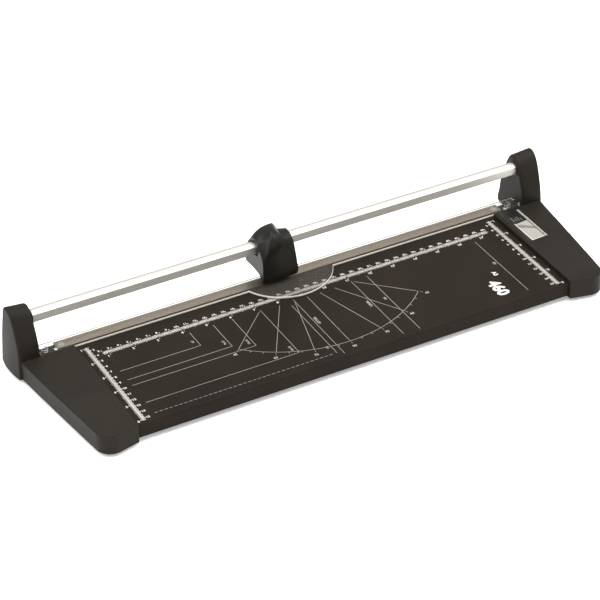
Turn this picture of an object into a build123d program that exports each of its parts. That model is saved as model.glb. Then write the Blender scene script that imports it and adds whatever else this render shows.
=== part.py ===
"""Rotary paper trimmer: a flat table between two end caps, a rail and a sliding cutter head.

Frame: X runs along the cut, +Y points to the rear, +Z up. The origin is under the middle of the
whole object, on the surface that the rubber feet stand on. Millimetres.
"""
from build123d import *
import os

os.makedirs("parts", exist_ok=True)

# ---------------------------------------------------------------- driving dimensions
cut_length = 460.0        # between the two side fences, room for the long edge of A3
post_gap = 529.0          # clear width between the two posts
overall_width = 580.0     # over the posts' outer faces, near the base
front_reach = 166.5       # from the cut line forward to the front of the end caps
rear_reach = 32.0         # from the cut line back to the rear foot of the posts
table_z = 20.0            # top of the table above the surface it stands on
fence_height = 4.0        # end caps stand this much above the table
base_z = 4.0              # underside of the end caps, lifted by the feet
post_top_z = 73.5         # at the outer face of a post
wall = 2.6                # wall of the end caps' mouldings
inner_rim = 2.8           # rounding of a post's inner and outer edges
outer_rim = 2.0
outer_lean = 2.3          # degrees, the posts' outer faces lean in towards the top
# side view of a post from low in front, over the top, to the rear foot: distance behind the cut
# line and height at the inner face, and how much both change towards the outer face
post_side = [(-20.8, 22.0, 0.6, 0.0), (-18.4, 40.0, 0.0, 2.0), (-14.0, 51.5, -1.0, 3.5),
             (-8.6, 62.0, -2.4, 3.5), (-2.8, 67.9, -2.0, 4.0), (2.6, 69.5, -1.2, 4.0),
             (8.2, 67.6, -2.0, 3.8), (12.6, 62.0, -4.0, 2.0), (18.2, 51.5, -7.8, 1.5),
             (26.6, 31.0, -12.6, 0.0), (29.8, 16.0, -14.2, 0.0), (31.8, 7.5, -15.4, 0.0)]

half_cut = cut_length / 2
half_gap = post_gap / 2
half_width = overall_width / 2
cut_y = (front_reach - rear_reach) / 2
fence_z = table_z + fence_height
cap_front_y = cut_y - front_reach
step_y = cut_y - 20.0     # front of the posts and rear end of the side fences

# table
plate_front_y = cut_y - 158.0
plate_skin = 1.2
plate_depth = 14.0        # height of its folded front edge
bed_width = 12.0          # ground steel counter knife
bed_thick = 3.0
bed_half_length = 244.0
ledge_z = table_z - bed_thick

# clear clamp strip
strip_gap = 1.3           # paper gap under the lifted strip
strip_thick = 1.6
strip_press = 1.0         # how far the rollers can push it down
strip_front_y = cut_y - 19.4
strip_rear_y = cut_y - 0.5
lobe_radius = 50.0
strip_z = table_z + strip_gap
strip_top_z = strip_z + strip_thick
pin_x, pin_y = 247.0, cut_y - 14.0
spring_x, spring_y = 255.0, cut_y - 6.0
bed_screw_x, bed_screw_y = 238.0, cut_y - 6.0

# guide rail: flat front, flat base, crowned top
rail_front_y = cut_y - 6.0
rail_rear_y = cut_y + 5.5
rail_z = 52.6
rail_top_z = 62.8
rail_shoulder_z = 61.0
rail_wall = 1.5
rail_mid_y = (rail_front_y + rail_rear_y) / 2
rail_mid_z = (rail_z + rail_top_z) / 2
collar_thick = 0.8

# cutter head
head_x = -11.75           # where the head is parked
head_width = 38.5
hood_wall = 1.5
head_left = head_x - head_width / 2
head_right = head_x + head_width / 2
hood_base_z = 27.5
hood_top_z = 67.5
wing_y, wing_z = cut_y - 3.0, 58.0     # the raised left part of the hood is turned about this line
wing_left_radius = 14.2
wing_crest_radius = 18.0
wing_crest_x = head_x + 6.0
wing_base_z = 36.0
hood_screw_y = cut_y + 17.6           # seat of the hood screws' heads
hood_screw_z = 44.0
hood_screws_at = (head_x - 12.0, head_x + 12.0)
liner_thick = 1.1
slide_gap = 0.12          # liner to rail, all round
sleeve_wall = 1.3
liner_grow = slide_gap + liner_thick
sleeve_grow = liner_grow + 0.03 + sleeve_wall
sleeve_length = 30.0
blade_radius = 14.0       # a 28 mm rotary blade
blade_dip = 1.6           # how far the blade reaches below the table
blade_thick = 0.6
blade_gap = 0.3           # between the blade and the counter knife's rear face
blade_z = table_z + blade_radius - blade_dip
blade_y = cut_y + blade_gap
roller_radius = 5.0
roller_z = strip_top_z + 0.3 + roller_radius
roller_spread = 8.5
yoke_front_y = cut_y - 17.6           # front end of the roller pins
roller_front_y = cut_y - 15.9
roller_rear_y = cut_y - 10.6
axle_radius = 2.5
running = 0.05            # radial clearance of what turns on a pin

# feet
foot_radius = 6.0
foot_height = 5.6
feet_at = [(247.0, cut_y - 148.0), (275.0, cut_y + 10.0)]


# ---------------------------------------------------------------- helpers
def save(piece, name):
    """Label one finished sub-part and write its STEP file."""
    piece.part.label = name
    export_step(piece.part, f"parts/{name}.step")


def bar_y(radius, x, z, y_from, y_to, mode=Mode.ADD):
    """Round bar or hole along Y in the open part."""
    with BuildSketch(Plane(origin=(x, y_from, z), x_dir=(1, 0, 0), z_dir=(0, 1, 0))) as disc:
        Circle(radius)
    extrude(disc.sketch, amount=y_to - y_from, mode=mode)


def bar_z(radius, x, y, z_from, z_to, mode=Mode.ADD):
    """Round bar or hole along Z in the open part."""
    with BuildSketch(Plane(origin=(x, y, z_from))) as disc:
        Circle(radius)
    extrude(disc.sketch, amount=z_to - z_from, mode=mode)


def bar_x(radius, y, z, x_from, x_to, mode=Mode.ADD):
    """Round bar or hole along X in the open part."""
    with BuildSketch(Plane(origin=(x_from, y, z), x_dir=(0, 1, 0), z_dir=(1, 0, 0))) as disc:
        Circle(radius)
    extrude(disc.sketch, amount=x_to - x_from, mode=mode)


def block(x_from, x_to, y_from, y_to, z_from, z_to, mode=Mode.ADD):
    """Rectangular block between two corners in the open part."""
    middle = ((x_from + x_to) / 2, (y_from + y_to) / 2, z_from)
    with BuildSketch(Plane(origin=middle)) as footprint:
        Rectangle(x_to - x_from, y_to - y_from)
    extrude(footprint.sketch, amount=z_to - z_from, mode=mode)


# ---------------------------------------------------------------- profiles
def rail_profile(x, grow=0.0):
    """Rail section in the YZ plane at x, made larger all round by grow."""
    with BuildSketch(Plane.YZ.offset(x)) as section:
        with BuildLine():
            Polyline((rail_front_y, rail_shoulder_z), (rail_front_y, rail_z),
                     (rail_rear_y, rail_z), (rail_rear_y, rail_shoulder_z))
            ThreePointArc((rail_rear_y, rail_shoulder_z), (rail_mid_y, rail_top_z),
                          (rail_front_y, rail_shoulder_z))
        make_face()
        fillet(section.vertices(), radius=0.8)
        if grow:
            offset(amount=grow)
    return section.sketch


def cap_plan(z, inset=0.0):
    """Plan of the right end cap in front of its post."""
    with BuildSketch(Plane.XY.offset(z)) as plan:
        with BuildLine():
            Polyline((half_cut, cut_y - 161.2), (half_cut, step_y), (284.6, step_y))
            ThreePointArc((284.6, step_y), (276.6, cut_y - 90.0), (266.6, cut_y - 170.0))
            Line((266.6, cut_y - 170.0), (half_cut, cut_y - 161.2))
        make_face()
        front_corner = plan.vertices().sort_by(Axis.Y)[0]
        fillet(front_corner, radius=15.0)
        if inset:
            offset(amount=-inset, kind=Kind.INTERSECTION)
    return plan.sketch


def post_plan(inset=0.0):
    """Plan that a post stays inside: its outer face bows out."""
    outer_x = half_width - inset
    rear_y = cut_y + rear_reach + 1.5 - inset
    with BuildSketch(Plane.XY.offset(base_z)) as plan:
        with BuildLine():
            Polyline((outer_x - 2.4, rear_y), (255.0, rear_y), (255.0, cut_y - 30.0),
                     (outer_x - 5.0, cut_y - 30.0))
            ThreePointArc((outer_x - 5.0, cut_y - 30.0), (outer_x, cut_y + 8.0),
                          (outer_x - 2.4, rear_y))
        make_face()
    return plan.sketch


def post_profile(x, inset=0.0):
    """Side view of a post in the YZ plane at x; to the outside it rises and gets shallower."""
    rise = (x - half_gap) / (half_width - half_gap)
    rim = [Vector(cut_y + y + y_rise * rise, z + z_rise * rise) for y, z, y_rise, z_rise in post_side]
    curve = []
    for before, here, after in zip(rim[:1] + rim, rim, rim[1:] + rim[-1:]):
        along = (after - before).normalized()
        curve.append(here + inset * Vector(along.Y, -along.X))
    with BuildSketch(Plane.YZ.offset(x)) as side:
        with BuildLine():
            Spline(*curve, tangents=[(0, 1), (0.1, -1)])
            Polyline(curve[-1], (curve[-1].X - 8.0, base_z), (curve[0].X, base_z), curve[0])
        make_face()
    return side.sketch


def hood_profile(x, inset=0.0):
    """Side view of the cutter head's hood in the YZ plane at x."""
    with BuildSketch(Plane.YZ.offset(x)) as side:
        with BuildLine():
            FilletPolyline((cut_y - 21.6, hood_base_z + 3.0), (cut_y - 16.5, 51.5),
                           (cut_y - 6.9, hood_top_z), (cut_y + 6.3, hood_top_z),
                           (cut_y + 18.0, 53.0), (cut_y + 19.3, hood_base_z + 5.0),
                           (cut_y + 13.0, hood_base_z + 1.5), (cut_y - 9.0, hood_base_z),
                           (cut_y - 19.5, hood_base_z - 1.5),
                           radius=[0, 25, 10, 12, 12, 0, 0, 0, 0], close=True)
        make_face()
        if inset:
            offset(amount=-inset, kind=Kind.INTERSECTION)
    return side.sketch


# ---------------------------------------------------------------- end caps
def cap_front_body():
    """The low, wide part of the right end cap, with its rolled upper edge."""
    with BuildPart() as body:
        extrude(cap_plan(base_z), amount=fence_z - base_z)
        top = body.edges().group_by(Axis.Z)[-1]
        outer = top.filter_by(lambda e: e.center().X > half_cut + 1 and e.center().Y < step_y - 1)
        fillet(outer, radius=1.0)
        fence = body.edges().filter_by(Axis.Y).filter_by(lambda e: e.center().Z > fence_z - 1)
        fillet(fence, radius=0.6)
    return body.part


def post_body():
    """The right post, its top crowned and its outer face bowed."""
    with BuildPart() as body:
        loft([post_profile(half_gap), post_profile(half_width + 5.0)])
        extrude(post_plan(), amount=post_top_z + 5.0, taper=outer_lean, mode=Mode.INTERSECT)
        inner_edges = body.edges().group_by(Axis.X)[0]
        rim = inner_edges.filter_by(lambda e: e.center().Z > table_z + 6)
        fillet(rim, radius=inner_rim)
        outer_edges = body.faces().sort_by(Axis.X)[-1].edges()
        rim = outer_edges.filter_by(lambda e: e.center().Z > table_z)
        fillet(rim, radius=outer_rim)
    return body.part


def post_hollow():
    """The space inside the right post, open below."""
    with BuildPart() as space:
        loft([post_profile(half_gap + wall, inset=wall), post_profile(half_width + 5.0, inset=wall)])
        extrude(post_plan(inset=wall), amount=post_top_z, taper=outer_lean, mode=Mode.INTERSECT)
    return space.part


with BuildPart() as right_end_cap:
    add(cap_front_body())
    add(post_body())
    block(half_cut, half_gap + 1.0, step_y - 1.0, cut_y, base_z, ledge_z)
    # hollows, open below
    extrude(cap_plan(base_z, inset=wall), amount=fence_z - wall - base_z, mode=Mode.SUBTRACT)
    add(post_hollow(), mode=Mode.SUBTRACT)
    block(half_cut + wall, half_gap - 0.4, step_y + wall, cut_y - wall,
          base_z, ledge_z - 3.0, mode=Mode.SUBTRACT)
    # stiffening ribs across the low part
    for rib_y in (cut_y - 118.0, cut_y - 78.0):
        block(half_cut + 1.0, 270.0, rib_y, rib_y + 1.8, 12.0, fence_z - 1.0)
    # bosses for the feet, the counter knife's screw, the guide pin and the strip spring
    bar_z(foot_radius + 2.2, *feet_at[0], base_z, fence_z - 1.0)
    bar_z(foot_radius + 2.2, *feet_at[1], base_z, 14.0)
    block(half_gap + 1.0, 285.0, cut_y + 8.5, cut_y + 11.5, base_z + 2.0, 14.0)
    bar_z(3.8, bed_screw_x, bed_screw_y, base_z, ledge_z)
    bar_z(3.8, pin_x, pin_y, base_z + 1.0, ledge_z)
    bar_z(5.0, spring_x, spring_y, base_z + 1.0, ledge_z)
    for foot_x, foot_y in feet_at:
        bar_z(foot_radius, foot_x, foot_y, 0.0, foot_height, mode=Mode.SUBTRACT)
    bar_z(1.6, bed_screw_x, bed_screw_y, 5.0, ledge_z, mode=Mode.SUBTRACT)
    bar_z(2.0, pin_x, pin_y, 8.0, ledge_z, mode=Mode.SUBTRACT)
    bar_z(3.7, spring_x, spring_y, 9.0, ledge_z, mode=Mode.SUBTRACT)
    # slot for the clamp strip's tongue, and the window that the rail passes through
    block(half_gap - 1.0, half_gap + wall + 0.2, cut_y - 17.0, cut_y - 3.0,
          table_z, strip_top_z + 0.3, mode=Mode.SUBTRACT)
    extrude(rail_profile(half_gap - 1.0, grow=0.2), amount=wall + 1.4, mode=Mode.SUBTRACT)
    # screw holes through the inner wall into the table plate
    for screw_y in (cut_y - 130.0, cut_y - 50.0):
        bar_x(1.8, screw_y, 11.0, half_cut - 1.0, half_cut + wall + 1.0, mode=Mode.SUBTRACT)
save(right_end_cap, "right_end_cap")

with BuildPart() as left_end_cap:
    mirror(right_end_cap.part, about=Plane.YZ)
save(left_end_cap, "left_end_cap")


# ---------------------------------------------------------------- table
with BuildPart() as table_plate:
    half_plate = half_cut - 0.3
    block(-half_plate, half_plate, plate_front_y, cut_y - bed_width - 0.3,
          table_z - plate_depth, table_z)
    front_top = table_plate.edges().filter_by(Axis.X).group_by(Axis.Z)[-1].sort_by(Axis.Y)[0]
    fillet(front_top, radius=1.8)
    block(-half_plate + plate_skin, half_plate - plate_skin,
          plate_front_y + plate_skin, cut_y - bed_width - 0.3 - plate_skin,
          0.0, table_z - plate_skin, mode=Mode.SUBTRACT)
    # short return lip under the front edge
    block(-half_plate + 6.0, half_plate - 6.0, plate_front_y + 0.6, plate_front_y + 8.0,
          table_z - plate_depth, table_z - plate_depth + plate_skin)
    for side in (-1, 1):
        for screw_y in (cut_y - 130.0, cut_y - 50.0):
            bar_x(1.75, screw_y, 11.0, side * half_plate - 2.0, side * half_plate + 2.0,
                  mode=Mode.SUBTRACT)
save(table_plate, "table_plate")

with BuildPart() as bed_blade:
    block(-bed_half_length, bed_half_length, cut_y - bed_width, cut_y, ledge_z, table_z)
    lower_rear = bed_blade.edges().filter_by(Axis.X).group_by(Axis.Y)[-1].sort_by(Axis.Z)[0]
    chamfer(lower_rear, length=1.2)
    for side in (-1, 1):
        with Locations(Plane(origin=(side * bed_screw_x, bed_screw_y, table_z))):
            CounterSinkHole(radius=1.75, counter_sink_radius=3.4)
    for screw_x in (-150.0, -50.0, 50.0, 150.0):
        bar_z(1.5, screw_x, cut_y - 6.5, ledge_z - 1.0, ledge_z + 2.0, mode=Mode.SUBTRACT)
save(bed_blade, "bed_blade")

with BuildPart() as base_channel:
    channel_half = half_cut - 0.6
    block(-channel_half, channel_half, cut_y - 11.8, cut_y - 1.4, 5.0, ledge_z)
    block(-channel_half - 1.0, channel_half + 1.0, cut_y - 10.6, cut_y - 2.6, 4.0, ledge_z - 1.4,
          mode=Mode.SUBTRACT)
    for screw_x in (-150.0, -50.0, 50.0, 150.0):
        bar_z(1.6, screw_x, cut_y - 6.5, ledge_z - 2.0, ledge_z + 1.0, mode=Mode.SUBTRACT)
save(base_channel, "base_channel")

with BuildPart() as channel_screws:
    for screw_x in (-150.0, -50.0, 50.0, 150.0):
        bar_z(2.8, screw_x, cut_y - 6.5, ledge_z - 3.2, ledge_z - 1.4)
        bar_z(1.45, screw_x, cut_y - 6.5, ledge_z - 1.4, ledge_z + 1.8)
save(channel_screws, "channel_screws")

with BuildPart() as bed_blade_screws:
    for side in (-1, 1):
        with BuildSketch(Plane.XZ.offset(-bed_screw_y)) as half_section:
            with BuildLine():
                Polyline((side * bed_screw_x, table_z - 0.1), (side * bed_screw_x + 3.2, table_z - 0.1),
                         (side * bed_screw_x + 1.6, table_z - 1.7), (side * bed_screw_x + 1.6, 7.0),
                         (side * bed_screw_x, 6.2), close=True)
            make_face()
        revolve(axis=Axis((side * bed_screw_x, bed_screw_y, 0), (0, 0, 1)))
save(bed_blade_screws, "bed_blade_screws")

with BuildPart() as plate_screws:
    for side in (-1, 1):
        for screw_y in (cut_y - 130.0, cut_y - 50.0):
            head_face = side * (half_cut + wall)
            bar_x(3.4, screw_y, 11.0, min(head_face, head_face + side * 2.2),
                  max(head_face, head_face + side * 2.2))
            bar_x(1.7, screw_y, 11.0, min(head_face, side * (half_cut - 5.0)),
                  max(head_face, side * (half_cut - 5.0)))
save(plate_screws, "plate_screws")

foot_names = [("front", feet_at[0]), ("rear", feet_at[1])]
for side, side_name in ((-1, "left"), (1, "right")):
    for row_name, (foot_x, foot_y) in foot_names:
        with BuildPart() as foot:
            bar_z(foot_radius, side * foot_x, foot_y, 0.0, foot_height)
            chamfer(foot.edges().group_by(Axis.Z)[0], length=0.5)
        save(foot, f"foot_{row_name}_{side_name}")

with BuildPart() as cap_label:
    block(233.5, 255.5, cut_y - 81.0, cut_y - 22.5, fence_z, fence_z + 0.2)
save(cap_label, "cap_label")


# ---------------------------------------------------------------- clear clamp strip
with BuildPart() as clamp_strip:
    with BuildSketch(Plane.XY.offset(strip_z)) as strip_plan:
        with Locations((0, (strip_front_y + strip_rear_y) / 2)):
            Rectangle(post_gap - 3.0, strip_rear_y - strip_front_y)
        with Locations((0, cut_y)):
            Circle(lobe_radius)
        with Locations((0, strip_rear_y + lobe_radius)):
            Rectangle(2 * lobe_radius, 2 * lobe_radius, mode=Mode.SUBTRACT)
        inner_corners = strip_plan.vertices().filter_by(
            lambda v: abs(v.Y - strip_front_y) < 0.1 and abs(v.X) < lobe_radius)
        fillet(inner_corners, radius=3.0)
    extrude(amount=strip_thick)
    for side in (-1, 1):
        tongue_from = side * (half_gap - 2.0)
        tongue_to = side * (half_gap + 1.8)
        block(min(tongue_from, tongue_to), max(tongue_from, tongue_to),
              cut_y - 16.5, cut_y - 3.5, strip_z, strip_top_z)
    chamfer(clamp_strip.faces().sort_by(Axis.Z)[-1].edges(), length=0.35)
    for side in (-1, 1):
        bar_z(2.5, side * pin_x, pin_y, strip_z - 1.0, strip_top_z + 1.0, mode=Mode.SUBTRACT)
save(clamp_strip, "clamp_strip")

with BuildPart() as strip_guide_pins:
    for side in (-1, 1):
        bar_z(2.0, side * pin_x, pin_y, 8.0, strip_top_z - 0.4)
    chamfer(strip_guide_pins.edges().group_by(Axis.Z)[-1], length=0.4)
save(strip_guide_pins, "strip_guide_pins")

spring_wire = 0.35
spring_coil_radius = 3.0
spring_base_z = 9.0 + spring_wire + 0.05
spring_tip_z = strip_z - spring_wire - 0.05
for side, side_name in ((-1, "left"), (1, "right")):
    with BuildPart() as strip_spring:
        with BuildLine(Plane(origin=(side * spring_x, spring_y, spring_base_z))) as coil:
            Helix(pitch=2.2, height=spring_tip_z - spring_base_z, radius=spring_coil_radius)
        with BuildSketch(Plane(origin=coil.line @ 0, z_dir=coil.line % 0)):
            Circle(spring_wire)
        sweep(path=coil.line, is_frenet=True)
    save(strip_spring, f"{side_name}_strip_spring")


# ---------------------------------------------------------------- rail
rail_half_length = half_gap + 11.0
with BuildPart() as guide_rail:
    extrude(rail_profile(-rail_half_length), amount=2 * rail_half_length)
    extrude(rail_profile(-rail_half_length, grow=-rail_wall), amount=2 * rail_half_length,
            mode=Mode.SUBTRACT)
    for side in (-1, 1):
        bar_z(2.1, side * (half_gap + 7.0), rail_mid_y, rail_z - 1.0, rail_z + rail_wall + 0.5,
              mode=Mode.SUBTRACT)
save(guide_rail, "guide_rail")

for side, side_name in ((-1, "left"), (1, "right")):
    with BuildPart() as rail_collar:
        collar_x = half_gap - collar_thick if side > 0 else -half_gap
        extrude(rail_profile(collar_x, grow=2.4), amount=collar_thick)
        chamfer(rail_collar.faces().sort_by(Axis.X)[0 if side > 0 else -1].edges(), length=0.4)
        extrude(rail_profile(collar_x, grow=0.1), amount=collar_thick, mode=Mode.SUBTRACT)
    save(rail_collar, f"{side_name}_rail_collar")

    with BuildPart() as rail_socket:
        socket_x = half_gap + wall + 0.2
        low_x = socket_x if side > 0 else -socket_x - 12.0
        with BuildSketch(Plane.YZ.offset(low_x)) as socket_section:
            with BuildLine():
                Polyline((cut_y - 8.4, 48.5), (cut_y + 7.6, 48.5), (cut_y + 7.6, 59.0),
                         (cut_y - 3.0, 59.0), (cut_y - 3.0, 56.5), (cut_y - 8.4, 56.5),
                         close=True)
            make_face()
        extrude(amount=12.0)
        bore_x = low_x if side > 0 else low_x + 2.5
        extrude(rail_profile(bore_x, grow=0.1), amount=9.5, mode=Mode.SUBTRACT)
        bar_z(2.1, side * (half_gap + 7.0), rail_mid_y, 47.0, rail_z + 1.0, mode=Mode.SUBTRACT)
    save(rail_socket, f"{side_name}_rail_socket")

with BuildPart() as rail_screws:
    for side in (-1, 1):
        bar_z(3.5, side * (half_gap + 7.0), rail_mid_y, 45.5, 48.5)
        bar_z(2.0, side * (half_gap + 7.0), rail_mid_y, 48.5, rail_z + rail_wall)
save(rail_screws, "rail_screws")


# ---------------------------------------------------------------- cutter head
def wing_outline(plane, along, turn, inset):
    """Face between the wing's axis line and its swelling outline, in that plane."""
    left, crest = head_left + inset, wing_crest_x - inset
    low, high = wing_left_radius - inset, wing_crest_radius - inset
    with BuildSketch(plane) as outline:
        with BuildLine():
            Spline((left, along + turn * low), (left + 7.0, along + turn * (low + 1.9)),
                   (left + 13.0, along + turn * (high - 0.5)), (crest - 3.0, along + turn * high))
            ThreePointArc((crest - 3.0, along + turn * high), (crest - 0.7, along + turn * (high - 1.1)),
                          (crest, along + turn * (high - 4.0)))
            Polyline((crest, along + turn * (high - 4.0)), (crest, along), (left, along),
                     (left, along + turn * low))
        make_face()
    return outline.sketch


def wing_body(inset=0.0):
    """Raised left part of the hood: half a turned crest on top, straight down in front."""
    with BuildPart() as wing:
        revolve(wing_outline(Plane.XZ.offset(-wing_y), wing_z, 1, inset),
                axis=Axis((0, wing_y, wing_z), (1, 0, 0)))
        block(head_left - 5, head_right + 5, cut_y - 40, cut_y + 40, 30.0, wing_z, mode=Mode.SUBTRACT)
        extrude(wing_outline(Plane.XY.offset(wing_base_z), wing_y, -1, inset),
                amount=wing_z - wing_base_z)
    return wing.part


with BuildPart() as head_hood:
    extrude(hood_profile(head_left), amount=head_width)
    fillet(head_hood.faces().sort_by(Axis.X)[-1].edges().filter_by(
        lambda e: e.center().Z > hood_base_z + 6), radius=1.8)
    with BuildSketch(Plane.XY.offset(hood_base_z)) as hood_plan:
        with BuildLine():
            Polyline((head_right, cut_y - 20.9), (head_right, cut_y + 25.0), (head_left, cut_y + 25.0),
                     (head_left, cut_y - 20.4))
            ThreePointArc((head_left, cut_y - 20.4), (head_x, cut_y - 21.8),
                          (head_right, cut_y - 20.9))
        make_face()
    extrude(amount=60.0, mode=Mode.INTERSECT)
    add(wing_body())
    with BuildPart(mode=Mode.PRIVATE) as hollow:
        extrude(hood_profile(head_left + hood_wall, inset=hood_wall), amount=head_width - 2 * hood_wall)
        block(head_left + hood_wall, head_right - hood_wall, cut_y - 18.0, cut_y + 17.3,
              hood_base_z - 2.0, hood_base_z + 7.0)
        extrude(offset(hood_plan.sketch, amount=-hood_wall, kind=Kind.INTERSECTION, mode=Mode.PRIVATE),
                amount=60.0, mode=Mode.INTERSECT)
    add(hollow.part, mode=Mode.SUBTRACT)
    add(wing_body(inset=hood_wall), mode=Mode.SUBTRACT)
    # arched windows that the rail passes through, wide on the left and close on the right
    for wall_x, front_y, rear_y, spring_z, arch_z in (
            (head_left - 1.0, cut_y - 9.2, cut_y + 9.4, 60.5, 67.3),
            (head_right - 3.5, cut_y - 7.4, cut_y + 6.9, 61.0, 64.4)):
        with BuildSketch(Plane.YZ.offset(wall_x)) as arch:
            with BuildLine():
                Polyline((front_y, spring_z), (front_y, 51.6), (rear_y, 51.6), (rear_y, spring_z))
                ThreePointArc((rear_y, spring_z), ((front_y + rear_y) / 2, arch_z),
                              (front_y, spring_z))
            make_face()
        extrude(arch.sketch, amount=4.5, mode=Mode.SUBTRACT)
    # the side walls end higher than the front and the rear
    block(head_left - 1.0, head_right + 1.0, cut_y - 13.0, cut_y + 8.0,
          hood_base_z - 2.0, hood_base_z + 5.0, mode=Mode.SUBTRACT)
    for screw_x in hood_screws_at:
        bar_y(1.7, screw_x, hood_screw_z, cut_y + 13.0, cut_y + 25.0, mode=Mode.SUBTRACT)
        bar_y(3.3, screw_x, hood_screw_z, hood_screw_y, cut_y + 25.0, mode=Mode.SUBTRACT)
save(head_hood, "head_hood")

with BuildPart() as carriage:
    sleeve_left = head_x - sleeve_length / 2
    extrude(rail_profile(sleeve_left, grow=sleeve_grow), amount=sleeve_length)
    # rear web with the blade axle's seat and the hood screws' bosses
    block(head_x - 10.0, head_x + 10.0, cut_y + 4.2, cut_y + 7.2, 26.0, 51.0)
    block(head_x - 15.5, head_x + 15.5, cut_y + 4.2, cut_y + 7.2, 40.0, 51.0)
    for screw_x in hood_screws_at:
        bar_y(3.2, screw_x, hood_screw_z, cut_y + 7.2, hood_screw_y - 1.2)
    # front arm and the roller yoke
    block(head_x - 7.0, head_x + 7.0, cut_y - 11.6, cut_y - 8.8, 34.0, 55.0)
    block(head_x - 7.0, head_x + 7.0, cut_y - 9.2, cut_y - 7.6, 51.0, 55.0)
    block(head_x - 13.2, head_x + 13.2, yoke_front_y, cut_y - 8.6, 33.9, 35.6)
    block(head_x - 13.2, head_x + 13.2, yoke_front_y, yoke_front_y + 1.3, 26.6, 35.6)
    for side in (-1, 1):
        ear_x = head_x + side * 8.8
        block(ear_x - 4.4, ear_x + 4.4, cut_y - 10.2, cut_y - 8.6, 25.6, 35.6)
    extrude(rail_profile(sleeve_left - 1.0, grow=liner_grow + 0.03), amount=sleeve_length + 2.0,
            mode=Mode.SUBTRACT)
    bar_y(axle_radius, head_x, blade_z, cut_y + 4.0, cut_y + 8.0, mode=Mode.SUBTRACT)
    for side in (-1, 1):
        bar_y(1.5, head_x + side * roller_spread, roller_z, cut_y - 21.0, cut_y - 8.0,
              mode=Mode.SUBTRACT)
    for screw_x in hood_screws_at:
        bar_y(1.4, screw_x, hood_screw_z, cut_y + 8.5, cut_y + 18.0, mode=Mode.SUBTRACT)
save(carriage, "carriage")

for liner_name, liner_x in (("left", head_x - 14.8), ("right", head_x + 6.8)):
    with BuildPart() as glide_liner:
        extrude(rail_profile(liner_x, grow=liner_grow), amount=8.0)
        extrude(rail_profile(liner_x, grow=slide_gap), amount=8.0, mode=Mode.SUBTRACT)
    save(glide_liner, f"{liner_name}_glide_liner")

hub_front_y = cut_y - 6.0
with BuildPart() as blade_hub:
    bar_y(8.0, head_x, blade_z, hub_front_y, blade_y)
    bar_y(4.0, head_x, blade_z, blade_y, blade_y + blade_thick)
    chamfer(blade_hub.edges().group_by(Axis.Y)[0], length=0.8)
    bar_y(axle_radius + running, head_x, blade_z, hub_front_y - 1.0, blade_y + 2.0,
          mode=Mode.SUBTRACT)
save(blade_hub, "blade_hub")

with BuildPart() as blade_disc:
    bar_y(blade_radius, head_x, blade_z, blade_y, blade_y + blade_thick)
    rear_rim = blade_disc.edges().group_by(Axis.Y)[-1]
    chamfer(rear_rim, length=0.45, length2=1.3)
    bar_y(4.0, head_x, blade_z, blade_y - 1.0, blade_y + 2.0, mode=Mode.SUBTRACT)
save(blade_disc, "blade_disc")

with BuildPart() as blade_retainer:
    bar_y(6.5, head_x, blade_z, blade_y + blade_thick, blade_y + blade_thick + 0.9)
    chamfer(blade_retainer.edges().group_by(Axis.Y)[-1], length=0.3)
    bar_y(axle_radius + running, head_x, blade_z, blade_y, blade_y + 4.0, mode=Mode.SUBTRACT)
save(blade_retainer, "blade_retainer")

with BuildPart() as thrust_washer:
    bar_y(4.6, head_x, blade_z, cut_y + 3.7, cut_y + 4.2)
    bar_y(axle_radius + running, head_x, blade_z, cut_y + 3.0, cut_y + 5.0, mode=Mode.SUBTRACT)
save(thrust_washer, "thrust_washer")

with BuildPart() as blade_spring:
    wave_y = blade_y + blade_thick + 0.9 + 0.3
    bar_y(4.4, head_x, blade_z, wave_y, wave_y + 0.4)
    bar_y(4.4, head_x, blade_z, cut_y + 3.2, cut_y + 3.6)
    bar_y(3.4, head_x, blade_z, wave_y + 0.3, cut_y + 3.3)
    bar_y(axle_radius + 0.3, head_x, blade_z, cut_y, cut_y + 5.0, mode=Mode.SUBTRACT)
save(blade_spring, "blade_spring")

with BuildPart() as blade_axle:
    bar_y(axle_radius, head_x, blade_z, cut_y - 8.3, cut_y + 7.2)
    bar_y(4.6, head_x, blade_z, cut_y + 7.2, cut_y + 9.6)
    chamfer(blade_axle.edges().group_by(Axis.Y)[-1], length=0.6)
    block(head_x - 0.5, head_x + 0.5, cut_y + 8.8, cut_y + 10.0, blade_z - 5.0, blade_z + 5.0,
          mode=Mode.SUBTRACT)
save(blade_axle, "blade_axle")

with BuildPart() as axle_nut:
    nut_front_y = cut_y - 8.3
    with BuildSketch(Plane(origin=(head_x, nut_front_y, blade_z), x_dir=(1, 0, 0), z_dir=(0, 1, 0))):
        RegularPolygon(radius=4.2, side_count=6)
    extrude(amount=1.9)
    bar_y(axle_radius, head_x, blade_z, nut_front_y - 1.0, nut_front_y + 3.0, mode=Mode.SUBTRACT)
save(axle_nut, "axle_nut")

for side, side_name in ((-1, "left"), (1, "right")):
    roller_x = head_x + side * roller_spread
    with BuildPart() as press_roller:
        bar_y(roller_radius, roller_x, roller_z, roller_front_y, roller_rear_y)
        rims = press_roller.edges().group_by(Axis.Y)
        fillet(rims[0] + rims[-1], radius=0.6)
        bar_y(1.5 + running, roller_x, roller_z, cut_y - 19.0, cut_y - 10.0, mode=Mode.SUBTRACT)
    save(press_roller, f"{side_name}_press_roller")

with BuildPart() as roller_pins:
    for side in (-1, 1):
        bar_y(1.5, head_x + side * roller_spread, roller_z, yoke_front_y, cut_y - 8.6)
save(roller_pins, "roller_pins")

with BuildPart() as hood_screws:
    for screw_x in hood_screws_at:
        bar_y(3.0, screw_x, hood_screw_z, hood_screw_y, hood_screw_y + 1.8)
        bar_y(1.4, screw_x, hood_screw_z, cut_y + 9.0, hood_screw_y)
save(hood_screws, "hood_screws")
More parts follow.
